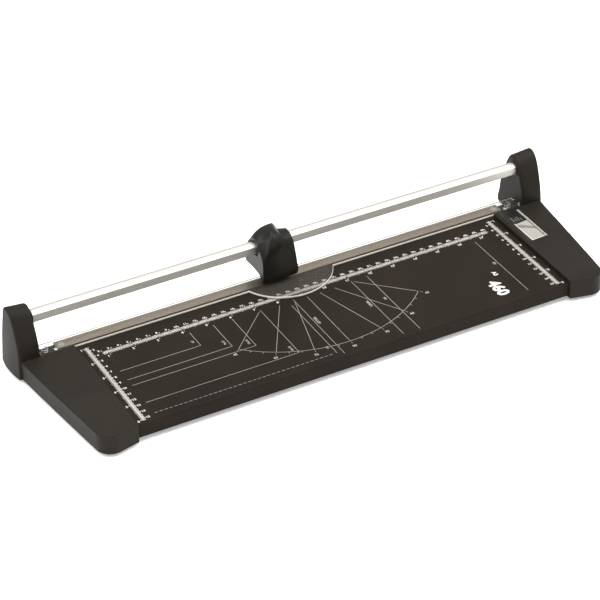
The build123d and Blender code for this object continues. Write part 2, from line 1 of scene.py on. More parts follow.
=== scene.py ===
"""Looks of the rotary paper trimmer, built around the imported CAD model. Metres, row frame."""
import math

import bmesh
import bpy
from mathutils import Matrix, Vector


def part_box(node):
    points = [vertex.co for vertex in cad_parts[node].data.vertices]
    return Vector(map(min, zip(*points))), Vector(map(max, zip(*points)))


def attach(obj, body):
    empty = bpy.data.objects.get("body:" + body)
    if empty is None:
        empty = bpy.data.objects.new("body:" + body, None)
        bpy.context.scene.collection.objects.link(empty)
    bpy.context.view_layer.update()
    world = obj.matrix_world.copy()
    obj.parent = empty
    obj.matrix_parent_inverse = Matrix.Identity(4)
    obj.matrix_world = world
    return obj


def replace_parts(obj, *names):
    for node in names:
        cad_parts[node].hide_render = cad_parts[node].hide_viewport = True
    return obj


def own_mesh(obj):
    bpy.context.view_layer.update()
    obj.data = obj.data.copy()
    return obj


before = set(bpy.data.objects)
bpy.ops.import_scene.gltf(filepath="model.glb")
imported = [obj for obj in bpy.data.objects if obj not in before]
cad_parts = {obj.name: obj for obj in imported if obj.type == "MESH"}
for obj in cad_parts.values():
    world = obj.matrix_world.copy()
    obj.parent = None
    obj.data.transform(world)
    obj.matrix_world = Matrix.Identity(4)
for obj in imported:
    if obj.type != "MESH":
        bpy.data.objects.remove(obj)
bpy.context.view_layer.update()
MM = 0.001


# ---------------------------------------------------------------- places, from the frame
strip_low, strip_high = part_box("clamp_strip")
pin_low, pin_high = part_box("strip_guide_pins")
hood_low, hood_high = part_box("head_hood")
bed_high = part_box("bed_blade")[1]
rail_rear_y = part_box("guide_rail")[1].y
label_top_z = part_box("cap_label")[1].z
CUT_Y = bed_high.y                       # the cut line
TABLE_Z = bed_high.z
HALF_CUT = 230 * MM                      # side fences stand this far left and right of the middle
LOBE_RADIUS = 50 * MM
STRIP_FRONT_Y = CUT_Y - 19.4 * MM        # front edge of the strip, left and right of its lobe
PIN_RADIUS = 2.0 * MM                    # guide pins of the strip
PIN_X = pin_high.x - PIN_RADIUS
PIN_Y = (pin_low.y + pin_high.y) / 2


# ---------------------------------------------------------------- material helpers
NOISE_LOW, NOISE_HIGH = 0.3, 0.7         # a noise texture is mostly between these
CLOUD_SCALE = 18.0                       # broad, faint differences of shade
GRAIN_SCALE = 2600.0
LINE_SCALE = 900.0                       # drawn or ground lines
FINE_RELIEF = 0.00001                    # metres


class Nodes:
    """One Principled material and the few node links that its texture needs."""

    def __init__(self, name, color, roughness, metallic=0.0, **sockets):
        self.material = bpy.data.materials.new(name)
        self.material.use_nodes = True
        self.tree = self.material.node_tree
        self.shader = self.tree.nodes["Principled BSDF"]
        self.set("Base Color", (*color, 1.0))
        self.set("Roughness", roughness)
        self.set("Metallic", metallic)
        for socket, value in sockets.items():
            self.set(socket.replace("_", " "), value)

    def set(self, socket, value):
        self.shader.inputs[socket].default_value = value

    def add(self, kind):
        return self.tree.nodes.new(kind)

    def link(self, source, target):
        self.tree.links.new(source, target)

    def coordinates(self, stretch=(1.0, 1.0, 1.0)):
        """Object coordinates, stretched along the axes."""
        place = self.add("ShaderNodeTexCoord")
        mapping = self.add("ShaderNodeMapping")
        mapping.inputs["Scale"].default_value = stretch
        self.link(place.outputs["Object"], mapping.inputs["Vector"])
        return mapping.outputs["Vector"]

    def noise(self, scale, detail=2.0, stretch=(1.0, 1.0, 1.0)):
        texture = self.add("ShaderNodeTexNoise")
        texture.inputs["Scale"].default_value = scale
        texture.inputs["Detail"].default_value = detail
        self.link(self.coordinates(stretch), texture.inputs["Vector"])
        return texture.outputs["Fac"]

    def spread(self, source, low, high):
        """Maps a noise texture onto low to high."""
        span = self.add("ShaderNodeMapRange")
        span.inputs["From Min"].default_value = NOISE_LOW
        span.inputs["From Max"].default_value = NOISE_HIGH
        span.inputs["To Min"].default_value = low
        span.inputs["To Max"].default_value = high
        self.link(source, span.inputs["Value"])
        return span.outputs["Result"]

    def shades(self, source, dark, light):
        """Maps a noise texture onto two base colours."""
        self.base_ramp(source, dark, light, NOISE_LOW, NOISE_HIGH)

    def base_ramp(self, source, start_color, end_color, start=0.0, end=1.0):
        """Base colour that changes from one colour to another between two values of the source."""
        ramp = self.add("ShaderNodeValToRGB")
        low, high = ramp.color_ramp.elements
        low.position = start
        low.color = (*start_color, 1.0)
        high.position = end
        high.color = (*end_color, 1.0)
        self.link(source, ramp.inputs["Fac"])
        self.link(ramp.outputs["Color"], self.shader.inputs["Base Color"])

    def bump(self, source, distance):
        bump = self.add("ShaderNodeBump")
        bump.inputs["Strength"].default_value = 1.0
        bump.inputs["Distance"].default_value = distance
        self.link(source, bump.inputs["Height"])
        self.link(bump.outputs["Normal"], self.shader.inputs["Normal"])


def moulded_plastic(name, color, roughness, grain=GRAIN_SCALE, relief=0.00004, **sockets):
    """Injection-moulded plastic with a fine spark-eroded texture."""
    m = Nodes(name, color, roughness, **sockets)
    broad = m.noise(CLOUD_SCALE, detail=3.0)
    m.shades(broad, tuple(c * 0.88 for c in color), tuple(c * 1.14 for c in color))
    fine = m.noise(grain, detail=2.0)
    m.link(m.spread(fine, roughness - 0.06, roughness + 0.06), m.shader.inputs["Roughness"])
    m.bump(fine, relief)
    return m.material


def printed_film(name, color, roughness):
    """Ink or film, almost without relief."""
    return moulded_plastic(name, color, roughness, relief=FINE_RELIEF)


def drawn_metal(name, color, roughness, stretch):
    """Metal with fine lines along one axis, from drawing or grinding."""
    m = Nodes(name, color, roughness, metallic=1.0)
    lines = m.noise(LINE_SCALE, detail=3.0, stretch=stretch)
    m.shades(lines, tuple(c * 0.9 for c in color), tuple(min(1.0, c * 1.06) for c in color))
    m.link(m.spread(lines, roughness - 0.05, roughness + 0.07), m.shader.inputs["Roughness"])
    m.bump(lines, FINE_RELIEF)
    return m.material


def rail_metal():
    """Drawn aluminium with painted shade: the crowned top's base colour darkens towards the rear edge."""
    # dark is the painted shade colour at the rail's rear edge, light is the metal's own colour
    light, dark = (0.80, 0.775, 0.72), (0.30, 0.28, 0.26)
    painted_shade_width = 5.0 * MM
    m = Nodes("rail_aluminium", light, 0.5, metallic=1.0)
    lines = m.noise(LINE_SCALE, detail=3.0, stretch=ALONG_X)
    m.link(m.spread(lines, 0.45, 0.57), m.shader.inputs["Roughness"])
    m.bump(lines, FINE_RELIEF)
    place = m.add("ShaderNodeTexCoord")
    split = m.add("ShaderNodeSeparateXYZ")
    m.link(place.outputs["Object"], split.inputs["Vector"])
    # painted shade: over the last few millimetres before the rear edge the base colour runs from light to
    # dark
    painted_shade_ramp = m.add("ShaderNodeMapRange")
    painted_shade_ramp.inputs["From Min"].default_value = rail_rear_y - painted_shade_width
    painted_shade_ramp.inputs["From Max"].default_value = rail_rear_y
    m.link(split.outputs["Y"], painted_shade_ramp.inputs["Value"])
    m.base_ramp(painted_shade_ramp.outputs["Result"], light, dark)
    return m.material


def assign(node, material):
    """Gives a CAD node its finished material."""
    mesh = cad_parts[node].data
    mesh.materials.clear()
    mesh.materials.append(material)


ALONG_X = (0.02, 1.0, 1.0)               # stretches a texture into lines along X
EVEN = (1.0, 1.0, 1.0)
CAP = moulded_plastic("cap_plastic", (0.0172, 0.0143, 0.0109), 0.46, Specular_IOR_Level=0.09)
HOOD = moulded_plastic("hood_plastic", (0.0105, 0.0098, 0.0075), 0.32, Specular_IOR_Level=0.16)
DARK = moulded_plastic("dark_plastic", (0.018, 0.0155, 0.014), 0.5, Specular_IOR_Level=0.2)
PAINT = moulded_plastic("table_paint", (0.0165, 0.0126, 0.0098), 0.5, grain=4200.0, relief=0.00003,
                        Specular_IOR_Level=0.05)
LINER = moulded_plastic("liner_plastic", (0.72, 0.70, 0.66), 0.35)
RUBBER = moulded_plastic("foot_rubber", (0.025, 0.024, 0.023), 0.75)
ROLLER = moulded_plastic("roller_rubber", (0.05, 0.049, 0.048), 0.6)
RAIL = rail_metal()
GROUND = drawn_metal("ground_steel", (0.42, 0.36, 0.295), 0.38, ALONG_X)
ZINC = drawn_metal("zinc_steel", (0.66, 0.65, 0.62), 0.32, EVEN)
BLADE = drawn_metal("blade_steel", (0.72, 0.72, 0.71), 0.2, EVEN)
CLEAR = Nodes("clear_plastic", (0.17, 0.155, 0.135), 0.16, Alpha=0.1, Specular_IOR_Level=0.5).material
# painted highlight: a light, nearly opaque colour for the bevelled edges of the clear strip
EDGE_HIGHLIGHT = Nodes("clear_plastic_edge", (0.72, 0.68, 0.60), 0.3, Alpha=0.85).material
PRINT = printed_film("white_ink", (0.62, 0.60, 0.56), 0.5)
PRINT_FINE = printed_film("grey_ink", (0.34, 0.33, 0.31), 0.5)
FILM = printed_film("black_film", (0.010, 0.009, 0.008), 0.3)
SILVER = printed_film("silver_film", (0.335, 0.32, 0.285), 0.4)
GREY_INK = printed_film("shade_ink", (0.17, 0.16, 0.145), 0.45)

NODE_MATERIALS = {
    "table_plate": PAINT, "left_end_cap": CAP, "right_end_cap": CAP, "bed_blade": GROUND,
    "base_channel": ZINC, "channel_screws": ZINC, "bed_blade_screws": ZINC, "plate_screws": ZINC,
    "foot_front_left": RUBBER, "foot_front_right": RUBBER, "foot_rear_left": RUBBER,
    "foot_rear_right": RUBBER, "cap_label": FILM, "strip_guide_pins": ZINC,
    "left_strip_spring": ZINC, "right_strip_spring": ZINC, "guide_rail": RAIL,
    "left_rail_collar": DARK, "right_rail_collar": DARK, "left_rail_socket": DARK,
    "right_rail_socket": DARK, "rail_screws": ZINC, "head_hood": HOOD, "carriage": DARK,
    "left_glide_liner": LINER, "right_glide_liner": LINER, "blade_hub": DARK,
    "blade_disc": BLADE, "blade_retainer": ZINC, "thrust_washer": ZINC, "blade_spring": ZINC,
    "blade_axle": ZINC, "axle_nut": ZINC, "left_press_roller": ROLLER,
    "right_press_roller": ROLLER, "roller_pins": ZINC, "hood_screws": ZINC,
}
for cad_node, finish_material in NODE_MATERIALS.items():
    assign(cad_node, finish_material)


# ---------------------------------------------------------------- printing on the table
# lengths are in millimetres, and places count from the left fence and the cut line
INCH = 25.4
INK_THICK = 0.03
SIZE_PER_CAPITAL = 1.42                  # the built-in font's size over the height of its capitals
RULE_WIDTH = 0.8                         # base lines of the rulers
WHOLE_WIDTH, PART_WIDTH = 0.6, 0.46      # ticks at whole units and between them
OUTLINE_WIDTH = 0.38
BACK_RULER_Y = -40.4
SIDE_RULER_X = 8.87
PROTRACTOR_RADIUS = 137.4
PAPER_SIZES = (("A7", 105.0, 74.0), ("9x13", 130.0, 90.0), ("10x15", 150.0, 100.0), ("13x18", 180.0, 130.0))


def table_point(x, y, z=0.0):
    """Millimetres from the left fence and the cut line, to the frame."""
    return Vector((x * MM - HALF_CUT, CUT_Y + y * MM, TABLE_Z + z * MM))


class Ink:
    """Flat raised marks that are collected into one mesh."""

    def __init__(self):
        self.bm = bmesh.new()

    def prism(self, outline):
        """Closed thin prism over an outline given in table millimetres."""
        low = [self.bm.verts.new(table_point(x, y)) for x, y in outline]
        high = [self.bm.verts.new(table_point(x, y, INK_THICK)) for x, y in outline]
        self.bm.faces.new(high)
        self.bm.faces.new(low[::-1])
        for i in range(len(outline)):
            j = (i + 1) % len(outline)
            self.bm.faces.new((low[i], low[j], high[j], high[i]))

    def line(self, start, end, width):
        dx, dy = end[0] - start[0], end[1] - start[1]
        reach = math.hypot(dx, dy)
        nx, ny = -dy / reach * width / 2, dx / reach * width / 2
        self.prism([(start[0] - nx, start[1] - ny), (end[0] - nx, end[1] - ny),
                    (end[0] + nx, end[1] + ny), (start[0] + nx, start[1] + ny)])

    def dashes(self, start, end, dash, gap, width):
        reach = math.dist(start, end)
        step = dash + gap
        for k in range(int(reach // step)):
            ends = [[start[i] + (end[i] - start[i]) * d / reach for i in (0, 1)]
                    for d in (k * step, k * step + dash)]
            self.line(*ends, width)

    def arc(self, centre, radius, from_degrees, to_degrees, width, steps=60):
        """Band along an arc; degrees turn from the left towards the front."""
        outer, inner = [], []
        for k in range(steps + 1):
            a = math.radians(from_degrees + (to_degrees - from_degrees) * k / steps)
            for r, row in ((radius + width / 2, outer), (radius - width / 2, inner)):
                row.append((centre[0] - r * math.cos(a), centre[1] - r * math.sin(a)))
        for k in range(steps):
            self.prism([outer[k], outer[k + 1], inner[k + 1], inner[k]])

    def text(self, words, x, y, height, turn=0.0, bold=0.0):
        """Letters centred on a table point."""
        curve = bpy.data.curves.new("letters", "FONT")
        curve.body = words
        curve.align_x = "CENTER"
        curve.align_y = "CENTER"
        curve.size = height * SIZE_PER_CAPITAL * MM
        curve.resolution_u = 2
        curve.offset = bold * MM
        curve.extrude = INK_THICK * MM / 2
        letters = bpy.data.objects.new("letters", curve)
        mesh = bpy.data.meshes.new_from_object(letters)
        place = Matrix.Translation(table_point(x, y, INK_THICK / 2)) @ Matrix.Rotation(turn, 4, "Z")
        mesh.transform(place)
        self.bm.from_mesh(mesh)
        bpy.data.objects.remove(letters)
        bpy.data.curves.remove(curve)
        bpy.data.meshes.remove(mesh)

    def finish(self, name, material):
        """Makes one piece of all the marks, printed on the table."""
        mesh = bpy.data.meshes.new(name)
        bmesh.ops.recalc_face_normals(self.bm, faces=self.bm.faces)
        self.bm.to_mesh(mesh)
        self.bm.free()
        mesh.materials.append(material)
        place_piece(name, mesh, "base")


def place_piece(name, mesh, body):
    """Adds a mesh to the scene as a piece that rides a body."""
    piece = bpy.data.objects.new(name, mesh)
    bpy.context.scene.collection.objects.link(piece)
    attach(piece, body)
    return piece


def ticks(ink, counts, pitch, per_unit, lengths, ends):
    """One scale: lengths are those at whole units, at halves and between; ends places a tick."""
    for count in counts:
        whole = count % per_unit == 0
        length = lengths[0] if whole else lengths[1] if count % (per_unit // 2) == 0 else lengths[2]
        ink.line(*ends(count * pitch, length), WHOLE_WIDTH if whole else PART_WIDTH)


def back_ruler():
    """Centimetres on the rear side and inches on the front side of one long line."""
    ink = Ink()
    ink.line((19.4, BACK_RULER_Y), (441.0, BACK_RULER_Y), RULE_WIDTH)
    ticks(ink, range(20, 441), 1.0, 10, (4.0, 3.4, 2.8),
          lambda x, length: ((x, BACK_RULER_Y), (x, BACK_RULER_Y + length)))
    ticks(ink, range(13, 277), INCH / 16, 16, (4.0, 3.0, 2.3),
          lambda x, length: ((x, BACK_RULER_Y), (x, BACK_RULER_Y - length)))
    for cm in range(2, 45):
        ink.line((cm * 10, BACK_RULER_Y), (cm * 10, BACK_RULER_Y + 5.6), WHOLE_WIDTH)
        ink.text(str(cm), cm * 10 - 2.5, BACK_RULER_Y + 5.6, 2.7, bold=0.1)
    for inch in range(1, 18):
        ink.line((inch * INCH, BACK_RULER_Y), (inch * INCH, BACK_RULER_Y - 5.0), WHOLE_WIDTH)
        ink.text(str(inch), inch * INCH - 2.5, BACK_RULER_Y - 6.2, 3.0, bold=0.12)
    ink.finish("back_ruler", PRINT)


def side_ruler(name, line_x, outward):
    """Inches towards the fence and centimetres inside, down the front of the table."""
    ink = Ink()
    ink.line((line_x, -24.0), (line_x, -153.6), RULE_WIDTH)
    ticks(ink, range(25, 154), 1.0, 10, (3.6, 3.0, 2.4),
          lambda y, length: ((line_x, -y), (line_x - outward * length, -y)))
    ticks(ink, range(16, 97), INCH / 16, 16, (3.4, 2.6, 2.0),
          lambda y, length: ((line_x, -y), (line_x + outward * length, -y)))
    for cm in range(3, 16):
        ink.text(str(cm), line_x - outward * 5.6, -cm * 10.0 - 0.6, 2.7, bold=0.1)
    for inch in range(1, 7):
        ink.text(str(inch), line_x + outward * 5.0, -inch * INCH - 0.8, 3.0, bold=0.12)
    ink.finish(name, PRINT)


def paper_outlines():
    """Lines for common paper and photo formats, laid into the left corner."""
    ink = Ink()
    start_x, start_y = 22.0, -50.0
    for label, x, reach in PAPER_SIZES:
        ink.line((start_x, -reach), (x, -reach), OUTLINE_WIDTH)
        ink.line((x, -reach), (x, start_y), OUTLINE_WIDTH)
        ink.text(label, x - 4.0, -reach + 9.0, 2.4, turn=math.pi / 2, bold=0.06)
    a5_width, a5_reach = 210.0, 148.0
    ink.dashes((start_x, -a5_reach), (a5_width, -a5_reach), 3.4, 1.6, OUTLINE_WIDTH)
    ink.line((a5_width, -a5_reach), (a5_width, -58.0), OUTLINE_WIDTH)
    ink.text("A5", a5_width - 3.6, -136.0, 2.4, turn=math.pi / 2, bold=0.06)
    for label, x, side, low in (("LETTER", 215.9, 1, -152.0), ("LEGAL", 279.4, -1, -152.0),
                                ("A4", 297.0, -1, -152.0), ("A3", 420.0, -1, -148.0)):
        ink.line((x, start_y), (x, low), OUTLINE_WIDTH)
        ink.text(label, x + side * 3.4, -92.0, 2.6, turn=math.pi / 2, bold=0.1)
    ink.finish("paper_outlines", PRINT_FINE)


def turned(radius, degrees):
    """Table point at a distance from the middle of the cut line; 90 degrees point to the front."""
    a = math.radians(degrees)
    return HALF_CUT / MM - radius * math.cos(a), -radius * math.sin(a)


def protractor():
    """Rays from the middle of the cut line, an arc and short marks every five degrees."""
    ink = Ink()
    rays_start_y = 52.0
    for degrees in (45, 60, 75, 90, 105, 120, 135):
        start_radius = rays_start_y / math.sin(math.radians(degrees))
        ink.line(turned(start_radius, degrees), turned(PROTRACTOR_RADIUS + 4.5, degrees), OUTLINE_WIDTH)
        ink.text(str(min(degrees, 180 - degrees)), *turned(PROTRACTOR_RADIUS + 9.0, degrees), 3.0,
                 bold=0.12)
    ink.arc(turned(0.0, 90), PROTRACTOR_RADIUS, 45, 135, OUTLINE_WIDTH)
    for degrees in range(45, 136, 5):
        ink.line(turned(PROTRACTOR_RADIUS, degrees), turned(PROTRACTOR_RADIUS + 2.6, degrees),
                 OUTLINE_WIDTH)
    ink.finish("protractor", PRINT_FINE)


def size_mark():
    """Generic size lettering near the right front corner, read from the right."""
    ink = Ink()
    ink.text("460", 396.5, -131.0, 12.0, turn=-math.pi / 2, bold=0.7)
    ink.text("A3", 407.0, -108.0, 4.2, turn=-math.pi / 2, bold=0.25)
    ink.finish("size_mark", PRINT)


# ---------------------------------------------------------------- clear clamp strip
def loop_mesh(name, rings):
    """Closed mesh through rings of points that all have the same count, in order."""
    bm = bmesh.new()
    loops = [[bm.verts.new(point) for point in ring] for ring in rings]
    for lower, upper in zip(loops, loops[1:]):
        for i in range(len(lower)):
            j = (i + 1) % len(lower)
            bm.faces.new((lower[i], lower[j], upper[j], upper[i]))
    bm.faces.new(loops[0][::-1])
    bm.faces.new(loops[-1])
    bmesh.ops.recalc_face_normals(bm, faces=bm.faces)
    mesh = bpy.data.meshes.new(name)
    bm.to_mesh(mesh)
    bm.free()
    return mesh


def inset_loop(points, amount):
    """The same counter-clockwise outline, moved inwards by amount at every corner."""
    sharpest = 0.3                       # keeps an acute corner from running away
    moved = []
    for i, point in enumerate(points):
        before, after = points[i - 1], points[(i + 1) % len(points)]
        into, out = (point - before).normalized(), (after - point).normalized()
        n1, n2 = Vector((-into.y, into.x)), Vector((-out.y, out.x))
        middle = (n1 + n2).normalized()
        moved.append(point + middle * (amount / max(sharpest, middle.dot(n1))))
    return moved


def strip_outline():
    """Counter-clockwise plan of the strip: straight, with a round lobe in front of the middle."""
    end_x = min(-strip_low.x, strip_high.x) - 3.5 * MM
    tongue_x = end_x + 3.3 * MM          # tongues reach further into the posts
    rear_y = strip_high.y
    tongue_front_y, tongue_rear_y = rear_y - 13.0 * MM, rear_y - 3.5 * MM
    lobe_angle = math.asin((CUT_Y - STRIP_FRONT_Y) / LOBE_RADIUS)
    lobe = []
    steps = 48
    for k in range(steps + 1):
        a = math.pi + lobe_angle + (math.pi - 2 * lobe_angle) * k / steps
        lobe.append(Vector((LOBE_RADIUS * math.cos(a), CUT_Y + LOBE_RADIUS * math.sin(a))))
    right_end = [Vector(corner) for corner in
                 ((end_x, STRIP_FRONT_Y), (end_x, tongue_front_y), (tongue_x, tongue_front_y),
                  (tongue_x, tongue_rear_y), (end_x, tongue_rear_y), (end_x, rear_y))]
    left_end = [Vector((-corner.x, corner.y)) for corner in reversed(right_end)]
    return [left_end[-1], *lobe, *right_end, *left_end[:-1]]


def drill(piece, centre, radius, low, high):
    """Cuts a round hole along Z through a piece."""
    steps = 24
    angles = [math.tau * k / steps for k in range(steps)]
    rings = [[Vector((centre[0] + radius * math.cos(a), centre[1] + radius * math.sin(a), z))
              for a in angles] for z in (low, high)]
    tool_mesh = loop_mesh("tool", rings)
    tool = bpy.data.objects.new("tool", tool_mesh)
    bpy.context.scene.collection.objects.link(tool)
    cut = piece.modifiers.new("cut", "BOOLEAN")
    cut.operation = "DIFFERENCE"
    cut.solver = "EXACT"
    cut.object = tool
    with bpy.context.temp_override(object=piece, active_object=piece):
        bpy.ops.object.modifier_apply(modifier=cut.name)
    bpy.data.objects.remove(tool)
    bpy.data.meshes.remove(tool_mesh)


def clamp_strip():
    """Clear strip with real bevelled edges, coloured with a painted highlight where they catch the light.
    """
    bevel = 0.4 * MM
    hole_radius = PIN_RADIUS + 0.5 * MM
    level = 0.95                         # a face whose normal is steeper than this is flat, not an edge
    outline = strip_outline()
    rings = []
    for inset, z in ((0.0, strip_low.z), (0.0, strip_high.z - bevel), (bevel, strip_high.z)):
        rings.append([Vector((p.x, p.y, z)) for p in inset_loop(outline, inset)])
    mesh = loop_mesh("clear_strip", rings)
    mesh.materials.append(CLEAR)
    mesh.materials.append(EDGE_HIGHLIGHT)
    # bevel faces take the painted highlight, flat faces stay clear
    for face in mesh.polygons:
        face.material_index = 0 if abs(face.normal.z) > level else 1
    strip = place_piece("clear_strip", mesh, "clamp_strip")
    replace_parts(strip, "clamp_strip")
    for pin_x in (-PIN_X, PIN_X):
        drill(strip, (pin_x, PIN_Y), hole_radius, strip_low.z - MM, strip_high.z + MM)


def strip_spring(side_name):
    """Coil of the CAD spring, as a mesh of its own that rides the base."""
    cad_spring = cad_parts[f"{side_name}_strip_spring"]
    mesh = cad_spring.data.copy()
    mesh.transform(cad_spring.matrix_world)
    spring = place_piece(f"{side_name}_coil", mesh, "base")
    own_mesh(spring)
    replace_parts(spring, f"{side_name}_strip_spring")


# ---------------------------------------------------------------- label on the right end cap
def film_patch(name, outline, low, thick, material):
    """Thin patch over a plan outline, given from the left fence and the cut line in millimetres."""
    mesh = loop_mesh(name, [[table_point(x, y, z) for x, y in outline] for z in (low, low + thick)])
    mesh.materials.append(material)
    place_piece(name, mesh, "base")


def rectangle(left, right, front, rear):
    return [(left, front), (right, front), (right, rear), (left, rear)]


def cap_label():
    """Generic sticker: a black film with a silver panel, a grey sweep, two rules and four dashes."""
    top = (label_top_z - TABLE_Z) / MM
    left, right = 468.2, 482.4
    front, rear = -80.0, -48.0
    film, rim = 0.04, 0.8
    film_patch("label_panel", [(left, front), (right, front + 0.6), (right, rear + 1.5), (left, rear)],
               top, film, SILVER)
    film_patch("label_rim_left", [(left - rim, front - rim), (left, front - rim), (left, rear + 1.0),
                                  (left - rim, rear + 1.0)], top, 0.05, PRINT)
    film_patch("label_rim_front", [(left, front - rim), (right, front - 0.2), (right, front + 0.6),
                                   (left, front)], top, 0.05, PRINT)
    shares = [k / 5 for k in range(6)]
    sweep = [(left + (right - left) * t, rear - 2.0 - 10.0 * t ** 1.6) for t in shares]
    back = [(left + (right - left) * t, rear - 7.5 - 9.5 * t ** 1.2) for t in reversed(shares)]
    film_patch("label_sweep", sweep + back, top + film, 0.02, GREY_INK)
    for k, x in enumerate((right + 1.2, right + 2.5)):
        film_patch(f"label_rule_{k + 1}", rectangle(x, x + 0.5, -80.5, -25.5), top, film, PRINT)
    for k, reach in enumerate((9.0, 6.0, 8.0, 5.0)):
        x = left + 1.3 + 3.0 * k
        film_patch(f"label_dash_{k + 1}", rectangle(x, x + 0.8, -44.0, -44.0 + reach), top, film,
                   GREY_INK)


# ---------------------------------------------------------------- sculpted hood of the cutter head
# Side views are given in millimetres behind the cut line and above the feet, in the order front,
# top, rear; stations along the cut count from the head's left face.
HEAD_AXIS = (-3.0, 58.0)                 # the crest swells around this line
HEAD_LEFT = hood_low.x / MM
HEAD_WIDTH = (hood_high.x - hood_low.x) / MM
SKIN = 1.5                               # thickness of the skin and of the side walls
BODY_END = 22.0                          # right of this station the body narrows to the right view
RIM = 1.2                                # width of the rounding along the right edge
FLANK_STEPS, BODY_STEPS = 14, 32         # stations left and right of the crest's edge
LEFT_VIEW = [(-19.3, 25.5), (-20.7, 28.1), (-21.2, 37.5), (-21.0, 46.0), (-20.3, 52.1), (-18.4, 56.4),
             (-15.6, 60.6), (-12.4, 64.4), (-9.4, 67.6), (-5.2, 69.3), (-0.8, 68.8), (3.6, 66.6),
             (9.2, 61.4), (13.4, 54.0), (15.6, 45.0), (16.4, 38.0), (16.9, 33.2), (7.5, 33.0),
             (-3.1, 33.0), (-13.6, 31.0), (-16.0, 25.5)]
BODY_VIEW = [(-20.0, 24.9), (-21.9, 30.6), (-20.9, 36.0), (-18.4, 45.8), (-15.6, 54.7), (-12.4, 61.0),
             (-8.8, 65.8), (-4.2, 69.0), (0.0, 70.2), (3.8, 69.8), (7.4, 67.4), (12.0, 62.0),
             (15.0, 54.5), (17.6, 46.0), (18.4, 38.0), (17.5, 31.0), (13.0, 29.0), (-16.0, 24.9)]
RIGHT_VIEW = [(-19.0, 24.9), (-20.8, 30.6), (-19.7, 35.8), (-17.1, 45.8), (-14.4, 54.7), (-11.6, 60.2),
              (-8.0, 63.6), (-3.8, 65.7), (0.2, 66.3), (3.2, 65.7), (9.8, 60.8), (14.0, 54.0),
              (16.6, 45.0), (17.4, 38.0), (17.4, 33.0), (7.5, 33.0), (-3.1, 33.0), (-13.6, 31.0),
              (-16.0, 24.9)]
LEFT_ARCH = [(-9.8, 51.6), (-10.0, 57.6), (-9.9, 63.6), (-8.2, 66.4), (-5.4, 67.6), (-2.0, 66.9),
             (2.5, 64.6), (6.0, 61.6), (7.9, 58.0), (8.2, 51.6)]
RIGHT_ARCH = [(-7.4, 51.8), (-7.4, 60.8), (-5.4, 63.4), (-0.3, 64.5), (4.8, 63.4), (6.9, 60.8),
              (6.9, 51.8)]
# the crest's edge: angle from the top towards the rear, station, distance from the axis
CREST = [(-126.0, 0.0, 21.8), (-109.0, 0.9, 18.5), (-95.0, 3.8, 17.0), (-80.0, 7.0, 16.4),
         (-60.0, 9.8, 16.2), (-45.0, 11.7, 16.5), (-25.0, 14.0, 17.2), (0.0, 18.2, 17.7),
         (20.0, 22.4, 18.2), (37.0, 25.4, 18.8), (50.0, 26.4, 17.5), (62.0, 27.0, 16.4),
         (76.0, 27.4, 15.9)]


def smooth_curve(points, steps=6):
    """Points along a smooth curve through the given ones (Catmull-Rom)."""
    ends = [points[0], *points, points[-1]]
    dense = []
    for a, b, c, d in zip(ends, ends[1:], ends[2:], ends[3:]):
        for k in range(steps):
            t = k / steps
            dense.append(tuple(
                0.5 * (2 * q + (r - p) * t + (2 * p - 5 * q + 4 * r - s) * t ** 2
                       + (3 * q - p - 3 * r + s) * t ** 3) for p, q, r, s in zip(a, b, c, d)))
    return [*dense, tuple(points[-1])]


def outline_reach(outline, angle):
    """Distance from the head's axis to a closed side view, at an angle from the top to the rear."""
    along_y, along_z = math.sin(math.radians(angle)), math.cos(math.radians(angle))
    reach = 0.0
    for (y1, z1), (y2, z2) in zip(outline, outline[1:] + outline[:1]):
        edge_y, edge_z = y2 - y1, z2 - z1
        start_y, start_z = y1 - HEAD_AXIS[0], z1 - HEAD_AXIS[1]
        det = along_y * edge_z - along_z * edge_y
        if abs(det) < 1e-9:
            continue
        distance = (start_y * edge_z - start_z * edge_y) / det
        place = (start_y * along_z - start_z * along_y) / det
        if distance > reach and -1e-6 <= place <= 1 + 1e-6:
            reach = distance
    return reach


def ramp(value, low, high):
    """0 below low, 1 above high, smooth between."""
    t = min(1.0, max(0.0, (value - low) / (high - low)))
    return t * t * (3 - 2 * t)


def crest_at(rows, angle):
    """Station and distance of the crest's edge at an angle."""
    for (a1, *low), (a2, *high) in zip(rows, rows[1:]):
        if angle <= a2:
            t = max(0.0, (angle - a1) / (a2 - a1))
            return [p + (q - p) * t for p, q in zip(low, high)]
    return rows[-1][1:]


def head_point(station, angle, reach):
    """Frame position from a station, an angle and a distance from the head's axis."""
    a = math.radians(angle)
    return Vector(((HEAD_LEFT + station) * MM, CUT_Y + (HEAD_AXIS[0] + reach * math.sin(a)) * MM,
                   (HEAD_AXIS[1] + reach * math.cos(a)) * MM))


